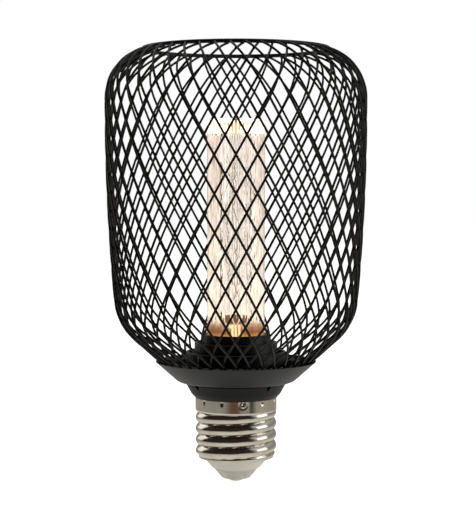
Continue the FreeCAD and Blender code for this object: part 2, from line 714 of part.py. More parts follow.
os.makedirs("parts", exist_ok=True)
save("screw_shell", screw_shell())
save("cap_insulator", [cap_insulator()])
save("centre_contact", [centre_contact()])
save("driver_housing", driver_housing())
save("cage_dish", [cage_dish()])
save("cage_outer_wires", wire_layer(1))
save("cage_inner_wires", wire_layer(-1))
save("cage_top_ring", [cage_top_ring()])
save("cage_base_ring", [cage_base_ring()])
save("light_guide", [light_guide()])
save("guide_holder", [guide_holder()])
save("led_board", [led_board()])
save("led_chips", led_chips())
save("heat_spreader", [heat_spreader()])
save("driver_board", [driver_board()])
save("reservoir_capacitor", [reservoir_capacitor()])
save("filter_inductor", [filter_inductor()])
save("film_capacitor", [block_on_board(FILM_SIZE, FILM_CORNER, -1)])
save("bridge_rectifier", [block_on_board(BRIDGE_SIZE, BRIDGE_CORNER, -1)])
save("driver_chip", [block_on_board(DRIVER_CHIP_SIZE, DRIVER_CHIP_CORNER, 1)])
save("fusible_resistor", [fusible_resistor()])
save("contact_lead", [contact_lead()])
save("shell_lead", [shell_lead()])
save("led_lead_positive", [led_lead(1)])
save("led_lead_negative", [led_lead(-1)])
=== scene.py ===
import json
import math
import random

import bmesh
import bpy
from mathutils import Matrix, Vector


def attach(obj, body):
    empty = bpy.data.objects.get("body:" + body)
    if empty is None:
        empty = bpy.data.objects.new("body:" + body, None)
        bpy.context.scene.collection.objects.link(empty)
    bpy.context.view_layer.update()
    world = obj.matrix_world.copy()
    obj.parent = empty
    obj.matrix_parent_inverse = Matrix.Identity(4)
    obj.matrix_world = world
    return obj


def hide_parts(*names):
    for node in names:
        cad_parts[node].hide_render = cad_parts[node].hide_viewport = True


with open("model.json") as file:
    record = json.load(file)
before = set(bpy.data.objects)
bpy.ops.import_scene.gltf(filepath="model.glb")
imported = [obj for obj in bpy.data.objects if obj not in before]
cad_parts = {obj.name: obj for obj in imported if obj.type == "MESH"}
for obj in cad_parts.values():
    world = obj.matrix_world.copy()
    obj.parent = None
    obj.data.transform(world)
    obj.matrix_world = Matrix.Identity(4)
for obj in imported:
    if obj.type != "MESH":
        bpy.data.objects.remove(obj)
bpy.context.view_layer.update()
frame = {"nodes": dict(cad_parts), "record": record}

# Screw shell
# The threaded cap of the bulb, rolled from thin sheet with a right-hand thread, a plain collar above it
# and a ring of punch marks that hold it to the housing. Bright nickel plate.

MM = 0.001


def linear(hex_colour):
    """An sRGB hex colour as linear red, green, blue and alpha."""
    channels = [int(hex_colour[i:i + 2], 16) / 255 for i in (0, 2, 4)]
    return [c / 12.92 if c <= 0.04045 else ((c + 0.055) / 1.055) ** 2.4 for c in channels] + [1.0]


def start_material(name):
    """A new material with an empty node tree."""
    material = bpy.data.materials.new(name)
    material.use_nodes = True
    material.node_tree.nodes.clear()
    return material


def add_node(material, kind, inputs=None, stops=None, **settings):
    """Adds a node: its settings, a value or a link for each named input, and a ramp's stops."""
    node = material.node_tree.nodes.new(kind)
    for name, value in settings.items():
        setattr(node, name, value)
    for name, value in (inputs or {}).items():
        if isinstance(value, bpy.types.NodeSocket):
            material.node_tree.links.new(value, node.inputs[name])
        else:
            node.inputs[name].default_value = value
    for i, (place, colour) in enumerate(stops or []):
        stop = node.color_ramp.elements[i] if i < 2 else node.color_ramp.elements.new(place)
        stop.position = place
        stop.color = colour
    return node


def finish_piece(bm, name, material, slot, *nodes, sharp=35):
    """Makes the finished mesh a piece that rides on the bulb and stands for its CAD nodes."""
    mesh = bpy.data.meshes.new(name)
    bm.to_mesh(mesh)
    bm.free()
    mesh.shade_smooth()
    mesh.set_sharp_from_angle(angle=math.radians(sharp))
    mesh.materials.append(material)
    piece = bpy.data.objects.new(name, mesh)
    bpy.context.scene.collection.objects.link(piece)
    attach(piece, "root")
    if nodes:
        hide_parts(*nodes)


# Bright nickel plate on rolled sheet: a warm mirror, a little dulled by handling and by the rolling dies
nickel = start_material("bright_nickel_plate")
place = add_node(nickel, "ShaderNodeTexCoord").outputs["Object"]
smears = add_node(nickel, "ShaderNodeTexNoise", {"Vector": place, "Scale": 180.0, "Detail": 3.0})
dullness = add_node(nickel, "ShaderNodeMapRange",
                    {"Value": smears.outputs["Fac"], "From Min": 0.35, "From Max": 0.7,
                     "To Min": 0.1, "To Max": 0.2})
# Roller marks run round the cap about 0.15 mm apart
rolled = add_node(nickel, "ShaderNodeMapping", {"Vector": place, "Scale": (60.0, 60.0, 6500.0)})
marks = add_node(nickel, "ShaderNodeTexNoise",
                 {"Vector": rolled.outputs["Vector"], "Scale": 1.0, "Detail": 1.0})
relief = add_node(nickel, "ShaderNodeBump",
                  {"Height": marks.outputs["Fac"], "Strength": 0.12, "Distance": 0.00002})
tone = add_node(nickel, "ShaderNodeValToRGB", {"Fac": smears.outputs["Fac"]},
                stops=[(0.3, linear("d9d3ca")), (0.75, linear("c9c1b6"))])
plate = add_node(nickel, "ShaderNodeBsdfPrincipled",
                 {"Base Color": tone.outputs["Color"], "Metallic": 1.0,
                  "Roughness": dullness.outputs["Result"], "Normal": relief.outputs["Normal"]})
add_node(nickel, "ShaderNodeOutputMaterial", {"Surface": plate.outputs["BSDF"]})

thread_pitch, thread_root, thread_depth = 3.629, 12.05, 1.05
# A crest stands at left_crest on the cap's left side, and over the foot the thread grows within thread_growth
left_crest, thread_foot, thread_growth = 13.45, 7.6, 1.7
# These powers make the crests a little broader than a cosine, and the growth slow at first
crest_power, growth_power = 0.8, 1.5
collar_r, collar_foot, collar_top = 13.15, 23.1, 27.2
sheet_thickness = 0.35
shell = bmesh.new()
outline = [(10.2, 7.6), (10.45, 7.32), (10.75, 7.32), (11.35, 7.72), (11.85, 8.35), (thread_root, 8.95),
           (thread_root, 22.2), (12.3, 22.45), (12.9, 22.95), (collar_r, 23.35), (collar_r, collar_top)]
line = [shell.verts.new((r * MM, 0, z * MM)) for r, z in outline]
for a, b in zip(line, line[1:]):
    shell.edges.new((a, b))
# Rows fine enough for the thread's rounding
row_height = 0.22
for edge in shell.edges[:]:
    cuts = int(edge.calc_length() / (row_height * MM))
    if cuts:
        bmesh.ops.subdivide_edges(shell, edges=[edge], cuts=cuts)
bmesh.ops.spin(shell, geom=shell.verts[:] + shell.edges[:], cent=(0, 0, 0), axis=(0, 0, 1),
               angle=2 * math.pi, steps=360, use_merge=True)
bmesh.ops.recalc_face_normals(shell, faces=shell.faces[:])
# Twelve punched ticks; the one right of the middle has a shallow ring round it
punch_step, first_punch = 2 * math.pi / 12, math.radians(-80)
tick_z, tick_depth, tick_width, tick_height = 26.7, 0.45, 0.27, 0.6
ring_z, ring_depth, ring_radius, ring_width = 26.2, 0.07, 1.15, 0.25
for v in shell.verts:
    turn = math.atan2(v.co.y, v.co.x)
    radius, height = math.hypot(v.co.x, v.co.y) / MM, v.co.z / MM
    place_in_pitch = ((height - left_crest) / thread_pitch - (turn - math.pi) / (2 * math.pi) + 0.5) % 1 - 0.5
    wave = math.cos(math.pi * place_in_pitch) ** crest_power
    growth = min(1.0, max(0.0, (height - thread_foot) / thread_growth)) ** growth_power
    if thread_foot + 0.1 < height < collar_foot:
        radius = max(radius, thread_root + thread_depth * wave * growth)
    if height > collar_foot:
        off = (turn - first_punch + punch_step / 2) % punch_step - punch_step / 2
        tick = math.hypot(off * collar_r / tick_width, (height - tick_z) / tick_height)
        radius -= tick_depth * math.exp(-tick ** 2)
        ring = math.hypot((turn - first_punch) * collar_r, height - ring_z)
        radius -= ring_depth * math.exp(-((ring - ring_radius) / ring_width) ** 2)
    v.co.x, v.co.y = radius * MM * math.cos(turn), radius * MM * math.sin(turn)
bmesh.ops.solidify(shell, geom=shell.faces[:], thickness=sheet_thickness * MM)
finish_piece(shell, "cap_shell", nickel, "nickel_plate", "screw_shell", sharp=50)

# Cap insulator
# The stepped ring of off-white glassy insulation that fills the foot of the cap round the contact.
# Pressed and fired, with soft edges.

# Vertices nearer than this, in metres, are one
SAME_POINT = 1e-7


def turned(corners, steps=128):
    """A closed form turned about the bulb's axis from (radius, height, cut-back) corners in millimetres."""
    bm = bmesh.new()
    line = [bm.verts.new((c[0] * MM, 0, c[1] * MM)) for c in corners]
    for a, b in zip(line, line[1:] + line[:1]):
        bm.edges.new((a, b))
    for reach in sorted({c[2] for c in corners if len(c) > 2}):
        rounded = [v for v, c in zip(line, corners) if len(c) > 2 and c[2] == reach]
        bmesh.ops.bevel(bm, geom=rounded, offset=reach * MM, offset_type="OFFSET", segments=5,
                        profile=0.5, affect="VERTICES", material=-1)
    bmesh.ops.spin(bm, geom=bm.verts[:] + bm.edges[:], cent=(0, 0, 0), axis=(0, 0, 1),
                   angle=2 * math.pi, steps=steps, use_merge=True)
    bmesh.ops.remove_doubles(bm, verts=bm.verts[:], dist=SAME_POINT)
    bmesh.ops.recalc_face_normals(bm, faces=bm.faces[:])
    return bm


# The colour sockets of a Mix node go by number
FIRST_COLOUR, SECOND_COLOUR, MIXED = 6, 7, 2

# Pressed glassy insulation: off-white, a little translucent, with a dull glaze
ceramic = start_material("pressed_cap_insulator")
place = add_node(ceramic, "ShaderNodeTexCoord").outputs["Object"]
# The tier by the shell is creamier and lighter; the cone under it is painted darker grey, as painted shade
tip_z, tier_z = 0.8, 4.4
height = add_node(ceramic, "ShaderNodeSeparateXYZ", {"Vector": place})
level = add_node(ceramic, "ShaderNodeMapRange",
                 {"Value": height.outputs["Z"], "From Min": (tier_z - 0.3) * MM,
                  "From Max": (tier_z + 0.3) * MM})
# Clouds about 2.5 mm across in the fired body
clouds = add_node(ceramic, "ShaderNodeTexNoise", {"Vector": place, "Scale": 400.0, "Detail": 4.0})
# Painted shade: below the tier the cone takes the darker grey
tier_tone_and_cone_painted_shade = add_node(ceramic, "ShaderNodeMix",
                     {"Factor": level.outputs["Result"], FIRST_COLOUR: linear("aca59e"),
                      SECOND_COLOUR: linear("f0ebdf")},
                     data_type="RGBA")
speckle = add_node(ceramic, "ShaderNodeMix",
                   {"Factor": clouds.outputs["Fac"], FIRST_COLOUR: tier_tone_and_cone_painted_shade.outputs[MIXED],
                    SECOND_COLOUR: linear("f2efe8")},
                   data_type="RGBA")
grain = add_node(ceramic, "ShaderNodeBump",
                 {"Height": clouds.outputs["Fac"], "Strength": 0.15, "Distance": 0.00005})
glaze = add_node(ceramic, "ShaderNodeBsdfPrincipled",
                 {"Base Color": speckle.outputs[MIXED], "Roughness": 0.38, "IOR": 1.52,
                  "Subsurface Weight": 0.15, "Subsurface Scale": 0.001,
                  "Normal": grain.outputs["Normal"]})
add_node(ceramic, "ShaderNodeOutputMaterial", {"Surface": glaze.outputs["BSDF"]})
# Stem hole, flat tip, cone, tier, and the skirt that the shell grips
stem_r, insulator_top = 1.6, 10.4
insulator = turned([(stem_r, tip_z), (4.4, tip_z, 0.6), (7.4, tier_z, 0.15), (7.8, tier_z, 0.2), (10.1, 7.2),
                    (10.1, 7.65), (11.4, 9.9), (11.4, insulator_top), (stem_r, insulator_top)])
finish_piece(insulator, "cap_insulator_ring", ceramic, "cap_insulator_white", "cap_insulator")

# Centre contact
# The stamped button under the insulator that meets the lampholder's spring.
# Plated steel, dulled by its tooling.

# Plated steel: a dull mirror with fine straight marks
steel = start_material("stamped_contact_steel")
place = add_node(steel, "ShaderNodeTexCoord").outputs["Object"]
# Fine lapping marks about 0.1 mm wide
brushed = add_node(steel, "ShaderNodeMapping", {"Vector": place, "Scale": (9000.0, 500.0, 500.0)})
lapping = add_node(steel, "ShaderNodeTexNoise",
                   {"Vector": brushed.outputs["Vector"], "Scale": 1.0, "Detail": 2.0})
dullness = add_node(steel, "ShaderNodeMapRange",
                    {"Value": lapping.outputs["Fac"], "To Min": 0.25, "To Max": 0.45})
button = add_node(steel, "ShaderNodeBsdfPrincipled",
                  {"Base Color": linear("b9b3a8"), "Metallic": 1.0, "Roughness": dullness.outputs["Result"]})
add_node(steel, "ShaderNodeOutputMaterial", {"Surface": button.outputs["BSDF"]})
# The button lies under the tip, and its stem stands in the insulator
button_r, contact_stem_r, stem_top = 2.4, 1.3, 4.0
contact = turned([(0, 0), (1.7, 0, 0.25), (button_r, 0.5, 0.12), (button_r, tip_z), (contact_stem_r, tip_z),
                  (contact_stem_r, stem_top), (0, stem_top)], steps=96)
finish_piece(contact, "contact_button", steel, "contact_metal", "centre_contact")

# Driver housing
# The black neck between cap and dish, with four V-shaped notches under its rim, and the sleeve inside
# the cap that holds the driver. Moulded flame-retardant plastic with a fine matt grain.

# Black polycarbonate, nearly matt, with a soft sheen at its edges
moulded = start_material("moulded_black_plastic")
place = add_node(moulded, "ShaderNodeTexCoord").outputs["Object"]
# Spark-eroded mould grain of about 0.2 mm
texture = add_node(moulded, "ShaderNodeTexNoise", {"Vector": place, "Scale": 5000.0, "Detail": 2.0})
grain = add_node(moulded, "ShaderNodeBump",
                 {"Height": texture.outputs["Fac"], "Strength": 0.25, "Distance": 0.00003})
patches = add_node(moulded, "ShaderNodeTexNoise", {"Vector": place, "Scale": 120.0, "Detail": 3.0})
tone = add_node(moulded, "ShaderNodeValToRGB", {"Fac": patches.outputs["Fac"]},
                stops=[(0.3, linear("111213")), (0.75, linear("18191a"))])
dullness = add_node(moulded, "ShaderNodeMapRange",
                    {"Value": patches.outputs["Fac"], "To Min": 0.42, "To Max": 0.58})
plastic = add_node(moulded, "ShaderNodeBsdfPrincipled",
                   {"Base Color": tone.outputs["Color"], "Roughness": dullness.outputs["Result"],
                    "IOR": 1.57, "Specular IOR Level": 0.18, "Normal": grain.outputs["Normal"]})
add_node(moulded, "ShaderNodeOutputMaterial", {"Surface": plastic.outputs["BSDF"]})
housing = frame["nodes"]["driver_housing"]
housing.data.materials.clear()
housing.data.materials.append(moulded)

# Dish
# The shallow conical dish that carries the cage. Spun from sheet steel, with a rolled base corner,
# under a fine matt charcoal powder coat.

# Charcoal polyester powder, which dulls reflections to a broad grey sheen
charcoal = start_material("charcoal_powder_coat")
place = add_node(charcoal, "ShaderNodeTexCoord").outputs["Object"]
# Powder coat flows out into an orange peel with about 0.5 mm between its bumps
peel = add_node(charcoal, "ShaderNodeTexNoise", {"Vector": place, "Scale": 2000.0, "Detail": 2.0})
relief = add_node(charcoal, "ShaderNodeBump",
                  {"Height": peel.outputs["Fac"], "Strength": 0.2, "Distance": 0.00004})
patches = add_node(charcoal, "ShaderNodeTexNoise", {"Vector": place, "Scale": 90.0, "Detail": 3.0})
tone = add_node(charcoal, "ShaderNodeValToRGB", {"Fac": patches.outputs["Fac"]},
                stops=[(0.3, linear("1a1c1c")), (0.75, linear("222424"))])
dullness = add_node(charcoal, "ShaderNodeMapRange",
                    {"Value": patches.outputs["Fac"], "To Min": 0.36, "To Max": 0.46})
powder = add_node(charcoal, "ShaderNodeBsdfPrincipled",
                  {"Base Color": tone.outputs["Color"], "Roughness": dullness.outputs["Result"],
                   "IOR": 1.5, "Specular IOR Level": 0.28, "Normal": relief.outputs["Normal"]})
add_node(charcoal, "ShaderNodeOutputMaterial", {"Surface": powder.outputs["BSDF"]})


# The cage stands in the dish, so its line comes first: runs of (length, bend radius) from the top ring down
cage_start_r, cage_start_z, cage_start_tilt = 28.8, 139.293, math.radians(78.685)
cage_runs = [(21.698, 15.8), (4.4, 0), (60.691, 680.0), (14.321, 19.0), (14.878, 0)]
cage_length = sum(run for run, bend in cage_runs)


def down_cage(length, lift):
    """Radius, height and tilt of the cage's surface at a length down from the top, lifted off it outwards."""
    r, z, tilt = cage_start_r, cage_start_z, cage_start_tilt
    for run, bend in cage_runs:
        part = min(run, max(length, 0.0))
        length -= part
        if bend:
            ahead = tilt - part / bend
            r += bend * (math.cos(ahead) - math.cos(tilt))
            z += bend * (math.sin(ahead) - math.sin(tilt))
            tilt = ahead
        else:
            r += part * math.sin(tilt)
            z -= part * math.cos(tilt)
    return r + lift * math.cos(tilt), z + lift * math.sin(tilt), tilt


# The dish's inner face lies this far outside the cage's surface, just clear of the outer wires' feet
dish_lift = 0.71
dish_wall, dish_under, dish_floor, dish_rim, dish_hole_r = 0.5, 32.3, 32.9, 38.9, 13.6
foot_r, foot_z, foot_tilt = down_cage(cage_length, dish_lift)
slope = -math.tan(foot_tilt)


def on_dish(z, skin=0.0):
    """Radius of the dish's cone at a height, out by a thickness of skin."""
    return foot_r + (z - foot_z) * slope + skin / math.cos(foot_tilt)


dish = turned([(dish_hole_r, dish_under), (on_dish(dish_under, dish_wall), dish_under, 1.1),
               (on_dish(dish_rim, dish_wall), dish_rim, 0.15), (on_dish(dish_rim), dish_rim, 0.15),
               (on_dish(dish_floor), dish_floor, 0.7), (dish_hole_r, dish_floor)], steps=160)
finish_piece(dish, "cage_dish_cone", charcoal, "dish_charcoal", "cage_dish")

# Guide holder
# The black stepped moulding in the middle of the dish: socket, step, thin rib, trough and rim.
# Moulded like the housing, but with a smoother satin face.

# Black polycarbonate from a polished mould, deeper black and a little glossier than the housing
satin = start_material("satin_moulded_plastic")
place = add_node(satin, "ShaderNodeTexCoord").outputs["Object"]
# Clouds a few millimetres across where the plastic flowed together
flow = add_node(satin, "ShaderNodeTexNoise", {"Vector": place, "Scale": 260.0, "Detail": 3.0})
tone = add_node(satin, "ShaderNodeValToRGB", {"Fac": flow.outputs["Fac"]},
                stops=[(0.3, linear("0b0b0b")), (0.75, linear("121110"))])
dullness = add_node(satin, "ShaderNodeMapRange",
                    {"Value": flow.outputs["Fac"], "To Min": 0.28, "To Max": 0.42})
# Mould grain of about 0.25 mm
fine = add_node(satin, "ShaderNodeTexNoise", {"Vector": place, "Scale": 4000.0, "Detail": 1.0})
grain = add_node(satin, "ShaderNodeBump",
                 {"Height": fine.outputs["Fac"], "Strength": 0.12, "Distance": 0.00003})
plastic = add_node(satin, "ShaderNodeBsdfPrincipled",
                   {"Base Color": tone.outputs["Color"], "Roughness": dullness.outputs["Result"],
                    "IOR": 1.57, "Specular IOR Level": 0.22, "Normal": grain.outputs["Normal"]})
add_node(satin, "ShaderNodeOutputMaterial", {"Surface": plastic.outputs["BSDF"]})
# Its walls from the column outwards: ledge, boss, step, rib, trough and rim
ledge_r, boss_r, boss_out, step_out, rib_out, trough_out, rim_out = 8.2, 9.4, 10.8, 12.2, 13.4, 15.2, 16.2
# Their tops, from the boss down
boss_top, rib_top, step_top, rim_top, trough_top = 47.7, 45.1, 43.2, 42.1, 39.2
holder_floor, soft_edge, trough_round = 1.0, 0.25, 0.5
socket_foot, skirt_foot, board_seat_r = 35.7, 30.4, 9.15
# The column stands on the ledge at this height
guide_seat = 45.7
holder = turned([
    (ledge_r, guide_seat), (boss_r, guide_seat), (boss_r, boss_top, soft_edge),
    (boss_out, boss_top, soft_edge), (boss_out, step_top, 0.4),
    (step_out, step_top, 0.3), (step_out, rib_top, soft_edge), (rib_out, rib_top, soft_edge),
    (rib_out, trough_top, trough_round), (trough_out, trough_top, trough_round),
    (trough_out, rim_top, soft_edge), (rim_out, rim_top, soft_edge), (rim_out, dish_floor),
    # Back inwards under the walls
    (trough_out, dish_floor), (trough_out, trough_top - holder_floor), (rib_out, trough_top - holder_floor),
    (rib_out, skirt_foot), (step_out, skirt_foot), (step_out, step_top - holder_floor),
    (boss_out, step_top - holder_floor), (boss_out, socket_foot), (board_seat_r, socket_foot),
    (board_seat_r, guide_seat - holder_floor), (ledge_r, guide_seat - holder_floor)], steps=160)
finish_piece(holder, "guide_holder_rings", satin, "holder_black", "guide_holder")

# Lamp board, chips and driver
# The lit board under the column, the aluminium cup that cools it, and the driver in the sleeve.
# Only the chips' light is seen from outside.

inner_tones = {"board_white": ("solder_resist_white", "e6e6e0", 0.4, 0.0),
               "spreader_aluminium": ("pressed_aluminium", "c2c3c6", 0.35, 1.0),
               "board_green": ("solder_resist_green", "1f6b3c", 0.35, 0.0),
               "capacitor_sleeve": ("shrunk_black_sleeve", "26262a", 0.25, 0.0),
               "inductor_ferrite": ("sintered_ferrite", "3b3938", 0.6, 0.0),
               "film_box": ("moulded_red_box", "8c2a20", 0.3, 0.0),
               "chip_epoxy": ("moulded_epoxy", "222222", 0.5, 0.0),
               "resistor_coat": ("dipped_blue_coat", "4f7f94", 0.4, 0.0),
               "lead_black": ("black_lead_sleeving", "1c1c1c", 0.5, 0.0),
               "lead_white": ("white_lead_sleeving", "dcdcd8", 0.5, 0.0),
               "lead_red": ("red_lead_sleeving", "a01f18", 0.5, 0.0)}
inner_slots = {row["node"]: row["material_slot"] for row in frame["record"]["subparts"]}
inner_materials = {}
for slot_name, (name, colour, gloss, metallic) in inner_tones.items():
    # Each has faint clouds a millimetre or two across in its colour and gloss
    inner = start_material(name)
    place = add_node(inner, "ShaderNodeTexCoord").outputs["Object"]
    clouds = add_node(inner, "ShaderNodeTexNoise", {"Vector": place, "Scale": 700.0, "Detail": 3.0})
    full = linear(colour)
    dim = [c * 0.8 for c in full[:3]] + [1.0]
    tone = add_node(inner, "ShaderNodeValToRGB", {"Fac": clouds.outputs["Fac"]},
                    stops=[(0.3, dim), (0.7, full)])
    shine = add_node(inner, "ShaderNodeMapRange",
                     {"Value": clouds.outputs["Fac"], "To Min": gloss - 0.06, "To Max": gloss + 0.08})
    surface = add_node(inner, "ShaderNodeBsdfPrincipled",
                       {"Base Color": tone.outputs["Color"], "Metallic": metallic,
                        "Roughness": shine.outputs["Result"]})
    add_node(inner, "ShaderNodeOutputMaterial", {"Surface": surface.outputs["BSDF"]})
    inner_materials[slot_name] = inner

# Phosphor in silicone over the chips and the core, lit: amber, with nearly white upright streaks that are
# about 1 mm wide. On the scratches, the core's collar and the mouth face the same emission is a painted glow.
phosphor = start_material("phosphor_silicone_lit_and_painted_glow")
place = add_node(phosphor, "ShaderNodeTexCoord").outputs["Object"]
streaks = add_node(phosphor, "ShaderNodeMapping", {"Vector": place, "Scale": (900.0, 900.0, 120.0)})
dies = add_node(phosphor, "ShaderNodeTexNoise",
                {"Vector": streaks.outputs["Vector"], "Scale": 1.0, "Detail": 2.0})
glow = add_node(phosphor, "ShaderNodeValToRGB", {"Fac": dies.outputs["Fac"]},
                stops=[(0.36, linear("f6b25a")), (0.55, linear("fff0bc"))])
# The light dies away within 0.8 mm near the top of the core, down to a faint painted glow above it
light_end = 51.2
height = add_node(phosphor, "ShaderNodeSeparateXYZ", {"Vector": place})
fade = add_node(phosphor, "ShaderNodeMapRange",
                {"Value": height.outputs["Z"], "From Min": (light_end - 0.4) * MM,
                 "From Max": (light_end + 0.4) * MM, "To Min": 1.15, "To Max": 0.05})
# A painted glow at half the strength comes back under the column's mouth
mouth_painted_glow = add_node(phosphor, "ShaderNodeMapRange",
                      {"Value": height.outputs["Z"], "From Min": 0.1, "From Max": 0.11, "To Max": 0.5})
lit = add_node(phosphor, "ShaderNodeMath", {0: fade.outputs["Result"], 1: mouth_painted_glow.outputs["Result"]},
               operation="ADD")
silicone = add_node(phosphor, "ShaderNodeBsdfPrincipled",
                    {"Base Color": linear("7a5230"), "Roughness": 0.4,
                     "Emission Color": glow.outputs["Color"], "Emission Strength": lit.outputs[0]})
add_node(phosphor, "ShaderNodeOutputMaterial", {"Surface": silicone.outputs["BSDF"]})
inner_materials["chip_amber"] = phosphor
for node, slot_name in inner_slots.items():
    if slot_name in inner_materials:
        part = frame["nodes"][node]
        part.data.materials.clear()
        part.data.materials.append(inner_materials[slot_name])

# Light column
# The clear column that pipes the chips' light up the cage: a rod with a narrow bore and a flared mouth.
# Turned from cast acrylic and flame polished.

# Flame-polished acrylic: clear and glossy, a touch warm
acrylic = start_material("polished_cast_acrylic")
place = add_node(acrylic, "ShaderNodeTexCoord").outputs["Object"]
# Casting leaves faint waves about 3 mm wide and 17 mm long
drawn = add_node(acrylic, "ShaderNodeMapping", {"Vector": place, "Scale": (300.0, 300.0, 60.0)})
waves = add_node(acrylic, "ShaderNodeTexNoise",
                 {"Vector": drawn.outputs["Vector"], "Scale": 1.0, "Detail": 1.0})
relief = add_node(acrylic, "ShaderNodeBump",
                  {"Height": waves.outputs["Fac"], "Strength": 0.12, "Distance": 0.0001})
clear = add_node(acrylic, "ShaderNodeBsdfPrincipled",
                 {"Base Color": linear("fffaf4"), "Roughness": 0.0, "IOR": 1.49,
                  "Transmission Weight": 1.0, "Normal": relief.outputs["Normal"]})
add_node(acrylic, "ShaderNodeOutputMaterial", {"Surface": clear.outputs["BSDF"]})
bore_r, skin_r, mouth_r = 2.7, 9.3, 8.6
mouth_foot, column_top = 111.9, 116.9
guide = turned([(bore_r, guide_seat), (skin_r, guide_seat, 0.3), (skin_r, column_top, 0.3),
                (mouth_r, column_top), (bore_r, mouth_foot)], steps=144)
finish_piece(guide, "light_column", acrylic, "clear_acrylic", "light_guide")

# Etching with painted glow
# The fine ribs and tall loops etched into the column, drawn with a painted glow for the chips' light that
# they catch, with amber streaks of painted glow round its foot, a lit core in its bore and bright fins of
# painted glow under its flared mouth.

# Rough cuts in clear acrylic, drawn with a painted glow in place of the light that runs up the column and
# scatters at them
etched = start_material("etched_acrylic_painted_glow")
place = add_node(etched, "ShaderNodeTexCoord").outputs["Object"]
height = add_node(etched, "ShaderNodeSeparateXYZ", {"Vector": place})
# The painted glow is orange and brown by the chips, peach up the column, and nearly white where the mouth
# turns the light out
climb = add_node(etched, "ShaderNodeMapRange",
                 {"Value": height.outputs["Z"], "From Min": 0.047, "From Max": 0.117})
painted_glow_colour = add_node(etched, "ShaderNodeValToRGB", {"Fac": climb.outputs["Result"]},
               stops=[(0.0, linear("f0a044")), (1.0, linear("ffe9c6")), (0.025, linear("9a5c30")),
                      (0.05, linear("b98a62")), (0.08, linear("f7e6cc")), (0.2, linear("fff4e4")),
                      (0.5, linear("f6eadc")), (0.92, linear("ecdfd5")), (0.93, linear("ffdcae")),
                      (0.95, linear("fff4e4")), (0.98, linear("fff0dc"))])
power = add_node(etched, "ShaderNodeValToRGB", {"Fac": climb.outputs["Result"]},
                 stops=[(0.0, [0.4] * 3 + [1.0]), (1.0, [0.85] * 3 + [1.0]), (0.03, [0.2] * 3 + [1.0]),
                        (0.09, [0.44] * 3 + [1.0]), (0.2, [0.4] * 3 + [1.0]), (0.45, [0.34] * 3 + [1.0]),
                        (0.92, [0.34] * 3 + [1.0]), (0.93, [0.85] * 3 + [1.0])])
# The cuts' painted glow is broken every few millimetres along their length
drawn = add_node(etched, "ShaderNodeMapping", {"Vector": place, "Scale": (1500.0, 1500.0, 250.0)})
breaks = add_node(etched, "ShaderNodeTexNoise",
                  {"Vector": drawn.outputs["Vector"], "Scale": 1.0, "Detail": 1.0})
ragged = add_node(etched, "ShaderNodeMapRange",
                  {"Value": breaks.outputs["Fac"], "From Min": 0.35, "From Max": 0.65,
                   "To Min": 1.5, "To Max": 3.2})
strength = add_node(etched, "ShaderNodeMath",
                    {0: power.outputs["Color"], 1: ragged.outputs["Result"]}, operation="MULTIPLY")
# Painted glow: this emission stands in for the chips' light scattered by the cuts
cut = add_node(etched, "ShaderNodeBsdfPrincipled",
               {"Base Color": linear("7c7068"), "Roughness": 0.6, "Emission Color": painted_glow_colour.outputs["Color"],
                "Emission Strength": strength.outputs[0]})
add_node(etched, "ShaderNodeOutputMaterial", {"Surface": cut.outputs["BSDF"]})


def at_angle(r, z, angle):
    """A point in metres from its radius and height in millimetres and its angle round the axis."""
    return Vector((r * math.cos(angle), r * math.sin(angle), z)) * MM


def add_lines(bm, paths, radius, roundness):
    """Adds lines of a radius in millimetres along paths of points, drawn as one curve."""
    curve = bpy.data.curves.new("line", "CURVE")
    curve.dimensions = "3D"
    curve.bevel_depth = radius * MM
    curve.bevel_resolution = roundness
    curve.use_fill_caps = True
    for path in paths:
        spline = curve.splines.new("POLY")
        spline.points.add(len(path) - 1)
        for point, spot in zip(spline.points, path):
            point.co = (*spot, 1)
    carrier = bpy.data.objects.new("line", curve)
    drawn_mesh = bpy.data.meshes.new_from_object(carrier)
    bm.from_mesh(drawn_mesh)
    # A curve's caps come unjoined
    bmesh.ops.remove_doubles(bm, verts=bm.verts[:], dist=SAME_POINT)
    bpy.data.objects.remove(carrier)
    bpy.data.meshes.remove(drawn_mesh)


def add_fin(bm, corners, angle, thickness):
    """Adds a thin upright sheet that stands out from the axis, from its (radius, height) corners."""
    through = Vector((-math.sin(angle), math.cos(angle), 0)) * thickness * MM
    face = bm.faces.new([bm.verts.new(at_angle(r, z, angle) - through / 2) for r, z in corners])
    grown = bmesh.ops.extrude_face_region(bm, geom=[face])["geom"]
    bmesh.ops.translate(bm, vec=through, verts=[v for v in grown if isinstance(v, bmesh.types.BMVert)])


rough = random.Random(7)
etching = bmesh.new()
# Fine ribs stand in three rings between the bore and the skin, edge on to the axis
cut_foot, cut_top, rib_half_width = 53.5, mouth_foot - 0.5, 0.3
for radius, count, start in ((5.6, 14, 0.0), (7.0, 20, 0.3), (8.3, 28, 0.1)):
    near, far = radius - rib_half_width, radius + rib_half_width
    for k in range(count):
        add_fin(etching, [(near, cut_foot), (far, cut_foot), (far, cut_top), (near, cut_top)],
                2 * math.pi * (k + start) / count, 0.05)
# Twelve tall loops, closed at the foot by half a turn
loops, loop_r, loop_bend_z, loop_spread, loop_drop = 12, 4.6, 53.4, 0.2, 2.0
side_heights = (64.0, 60.0, 57.0, loop_bend_z)
paths = []
for k in range(loops):
    angle = 2 * math.pi * k / loops
    down = [at_angle(loop_r, z, angle - loop_spread) for z in side_heights]
    bend = [at_angle(loop_r, loop_bend_z - loop_drop * math.sin(t), angle - loop_spread * math.cos(t))
            for t in [math.pi * n / 8 for n in range(1, 8)]]
    up = [at_angle(loop_r, z, angle + loop_spread) for z in reversed(side_heights)]
    paths.append(down + bend + up)
add_lines(etching, paths, 0.127, 0)
